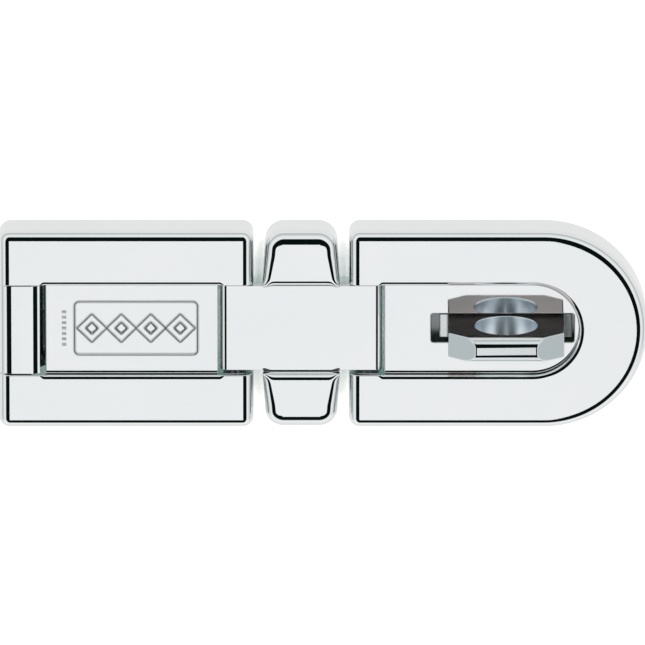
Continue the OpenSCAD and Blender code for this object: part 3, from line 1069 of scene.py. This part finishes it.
class HASP_OT_stage(bpy.types.Operator):
    """Sets up the camera, the soft light, the surround and the pale floor"""

    bl_idname = "hasp.stage"
    bl_label = "Stage"

    def execute(self, context):
        context.scene.view_settings.view_transform = "Standard"
        studio_camera()
        studio_lamp()
        studio_world()
        studio_floor()
        return {"FINISHED"}


class HASP_OT_left_cover(bpy.types.Operator):
    """Presses the long cover over the fixed hinge"""

    bl_idname = "hasp.left_cover"
    bl_label = "Left cover"

    def execute(self, context):
        pressed("left_cover", "left_leaf", left_cover_skin())
        return {"FINISHED"}


class HASP_OT_middle_cover(bpy.types.Operator):
    """Presses the short saddle over the strap"""

    bl_idname = "hasp.middle_cover"
    bl_label = "Middle cover"

    def execute(self, context):
        pressed("middle_cover", "link", saddle_skin())
        return {"FINISHED"}


class HASP_OT_right_cover(bpy.types.Operator):
    """Presses the long cover with the round end and the staple slot"""

    bl_idname = "hasp.right_cover"
    bl_label = "Right cover"

    def execute(self, context):
        pressed("right_cover", "right_leaf", right_cover_skin())
        return {"FINISHED"}


class HASP_OT_stamped_mark(bpy.types.Operator):
    """Stamps the plain frame, lozenges and ticks on the left panel"""

    bl_idname = "hasp.stamped_mark"
    bl_label = "Stamped mark"

    def execute(self, context):
        material = cover_plating()
        add_piece("stamped_mark", mark_mesh(material), "left_leaf", "cover_steel", material)
        return {"FINISHED"}


class HASP_OT_link_strap(bpy.types.Operator):
    """Finishes the thick strap that joins the two long covers"""

    bl_idname = "hasp.link_strap"
    bl_label = "Link strap"

    def execute(self, context):
        soft_edged("link_strap", "link", "strap_steel", cover_plating(), 0.3 * MM)
        return {"FINISHED"}


class HASP_OT_hinge_plate(bpy.types.Operator):
    """Finishes the fixed plate and its rolled knuckle"""

    bl_idname = "hasp.hinge_plate"
    bl_label = "Hinge plate"

    def execute(self, context):
        soft_edged("hinge_plate", "mounted_plates", "strap_steel", cover_plating(), 0.2 * MM)
        return {"FINISHED"}


class HASP_OT_staple_plate(bpy.types.Operator):
    """Finishes the plate under the staple"""

    bl_idname = "hasp.staple_plate"
    bl_label = "Staple plate"

    def execute(self, context):
        soft_edged("staple_plate", "mounted_plates", "plate_steel", plate_zinc(), 0.2 * MM)
        return {"FINISHED"}


class HASP_OT_staple_eye(bpy.types.Operator):
    """Finishes the forged padlock eye"""

    bl_idname = "hasp.staple_eye"
    bl_label = "Staple eye"

    def execute(self, context):
        soft_edged("staple_eye", "mounted_plates", "staple_steel", eye_plating(), 0.3 * MM)
        return {"FINISHED"}


class HASP_OT_lugs(bpy.types.Operator):
    """Finishes the six lugs that hold the pins inside the covers"""

    bl_idname = "hasp.lugs"
    bl_label = "Lugs"

    def execute(self, context):
        rows = (("left_end", "left_leaf"), ("left_link", "left_leaf"), ("right_link", "right_leaf"))
        for stem, body in rows:
            for side in ("front", "back"):
                soft_edged(f"{stem}_lug_{side}", body, "lug_steel", lug_zinc(), 0.2 * MM)
        return {"FINISHED"}


class HASP_OT_pins(bpy.types.Operator):
    """Finishes the three hinge pins"""

    bl_idname = "hasp.pins"
    bl_label = "Pins"

    def execute(self, context):
        for node, body in (
            ("end_hinge_pin", "left_leaf"),
            ("left_link_pin", "left_leaf"),
            ("right_link_pin", "right_leaf"),
        ):
            soft_edged(node, body, "pin_steel", pin_steel(), 0.35 * MM)
        return {"FINISHED"}


OPERATORS = (
    HASP_OT_stage,
    HASP_OT_left_cover,
    HASP_OT_middle_cover,
    HASP_OT_right_cover,
    HASP_OT_stamped_mark,
    HASP_OT_link_strap,
    HASP_OT_hinge_plate,
    HASP_OT_staple_plate,
    HASP_OT_staple_eye,
    HASP_OT_lugs,
    HASP_OT_pins,
)
SETTINGS = {
    "hasp_sheet": HaspSheet,
    "hasp_saddle": HaspSaddle,
    "hasp_mark": HaspMark,
    "hasp_finish": HaspFinish,
    "hasp_studio": HaspStudio,
}


class HASP_PT_panel(bpy.types.Panel):
    """Lists the hasp's pieces and their sizes"""

    bl_idname = "HASP_PT_panel"
    bl_label = "Hasp and Staple"
    bl_space_type = "VIEW_3D"
    bl_region_type = "UI"
    bl_category = "Hasp"

    def draw(self, context):
        for name, settings in SETTINGS.items():
            box = self.layout.box()
            for setting in settings.__annotations__:
                box.prop(getattr(context.scene, name), setting)
        for operator in OPERATORS:
            self.layout.operator(operator.bl_idname)


def register():
    for made in (*SETTINGS.values(), *OPERATORS, HASP_PT_panel):
        bpy.utils.register_class(made)
    for name, settings in SETTINGS.items():
        setattr(bpy.types.Scene, name, bpy.props.PointerProperty(type=settings))


def unregister():
    for name in SETTINGS:
        delattr(bpy.types.Scene, name)
    for made in (HASP_PT_panel, *reversed(OPERATORS), *reversed(SETTINGS.values())):
        bpy.utils.unregister_class(made)


def main():
    register()
    for operator in OPERATORS:
        family, name = operator.bl_idname.split(".")
        getattr(getattr(bpy.ops, family), name)()


if __name__ == "__main__":
    main()
